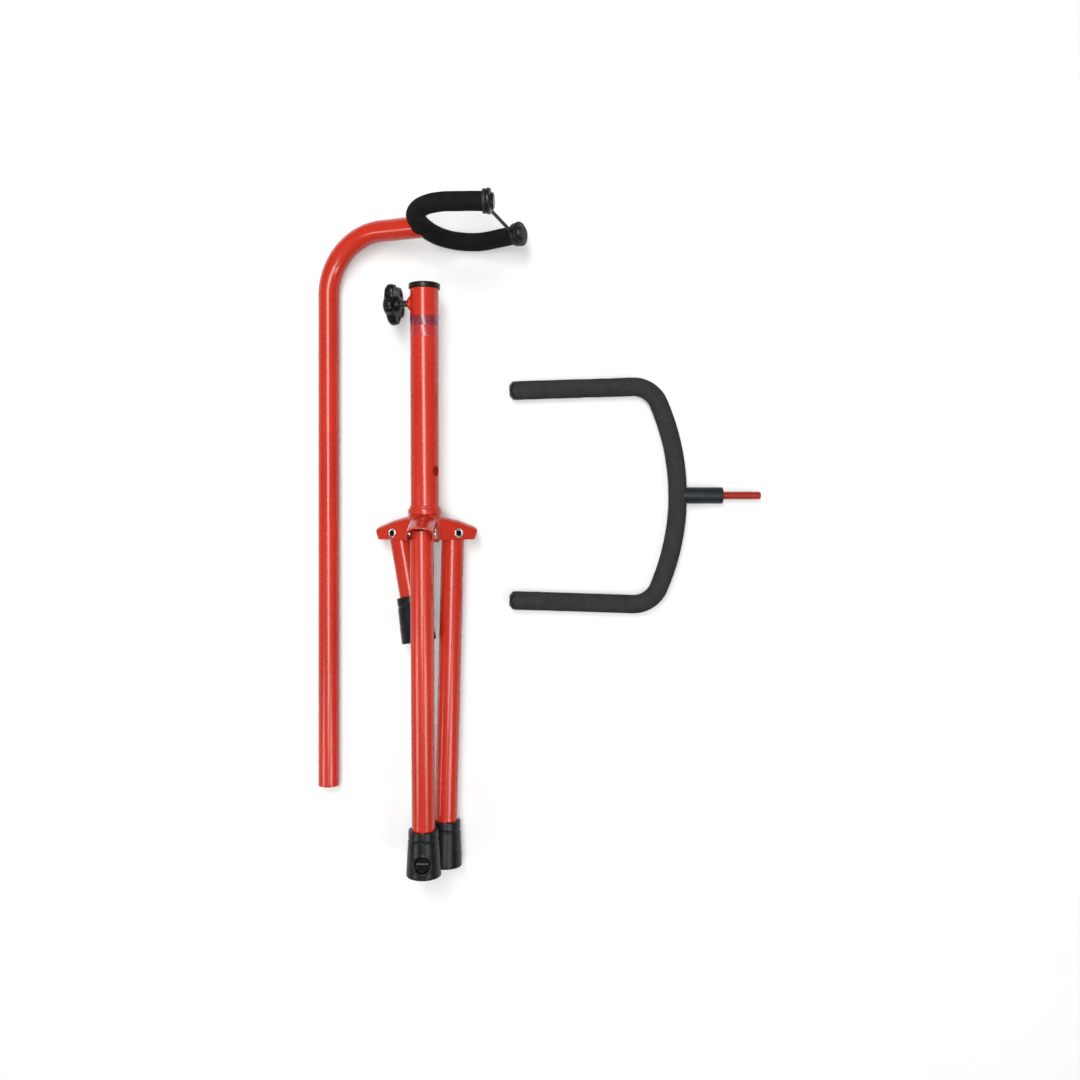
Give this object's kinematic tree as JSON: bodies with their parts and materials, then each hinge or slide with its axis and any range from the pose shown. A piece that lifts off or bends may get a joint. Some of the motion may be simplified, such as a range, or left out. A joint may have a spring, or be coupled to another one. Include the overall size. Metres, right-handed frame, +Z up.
{
  "type": "knock-down tubular instrument stand",
  "caption": "Knock-down tubular steel stand laid out flat: folded tripod base with clamp knob, bent neck tube with padded yoke and strap, and padded U-shaped cradle.",
  "frame": {"origin": "middle of the laid-out kit's footprint, on the floor it lies on", "axes": "+Z up from the floor; +Y along the tubes, from the feet towards the yoke; +X from the neck piece towards the cradle's pin"},
  "size_m": [0.405, 0.5898, 0.1125],
  "materials": {
    "red_paint": "gloss",
    "foam": "matte",
    "black_plastic": "satin",
    "black_rubber": "matte",
    "bare_steel": "satin"
  },
  "bodies": {
    "base": {"main_tube": "red_paint", "top_bushing": "black_plastic", "hub_collar": "red_paint", "clamp_boss": "red_paint", "leg_hub": "red_paint", "left_rivet": "bare_steel", "right_rivet": "bare_steel", "rear_rivet": "bare_steel"},
    "left_leg": {"left_leg": "red_paint", "left_foot": "black_rubber"},
    "right_leg": {"right_leg": "red_paint", "right_foot": "black_rubber"},
    "rear_leg": {"rear_leg": "red_paint", "rear_foot": "black_rubber"},
    "clamp": {"clamp_screw": "bare_steel", "clamp_knob": "black_plastic"},
    "neck_piece": {"neck_tube": "red_paint", "yoke_stem": "bare_steel", "yoke_rod": "bare_steel", "yoke_foam": "foam", "yoke_cap_lower": "black_plastic", "yoke_cap_upper": "black_plastic", "security_strap": "black_rubber"},
    "cradle": {"cradle_rod": "bare_steel", "cradle_foam": "foam", "cradle_cap_lower": "black_plastic", "cradle_cap_upper": "black_plastic", "stem_sleeve": "foam", "cradle_pin": "red_paint"}
  },
  "joints": [
    {"name": "left_leg_fold", "type": "hinge", "parent": "base", "child": "left_leg", "pos_m": [-0.10252, 0.00784, 0.06084], "axis": [-1, 0, 0], "range_deg": [0, 73]},
    {"name": "right_leg_fold", "type": "hinge", "parent": "base", "child": "right_leg", "pos_m": [-0.07862, 0.00897, 0.01946], "axis": [0.5, -0.0237, 0.8657], "range_deg": [0, 73]},
    {"name": "rear_leg_fold", "type": "hinge", "parent": "base", "child": "rear_leg", "pos_m": [-0.12642, 0.00897, 0.01946], "axis": [0.5, 0.0237, -0.8657], "range_deg": [0, 84]},
    {"name": "clamp_turn", "type": "hinge", "parent": "base", "child": "clamp", "pos_m": [-0.13078, 0.2134, 0.03234], "axis": [-0.9744, 0.0062, -0.2249], "range_deg": [-1080, 720]},
    {"name": "neck_piece_lift_off", "type": "slide", "parent": "base", "child": "neck_piece", "axis": [0, 0, 1], "range_m": [0, 0.15]},
    {"name": "cradle_lift_off", "type": "slide", "parent": "base", "child": "cradle", "axis": [0, 0, 1], "range_m": [0, 0.15]}
  ]
}
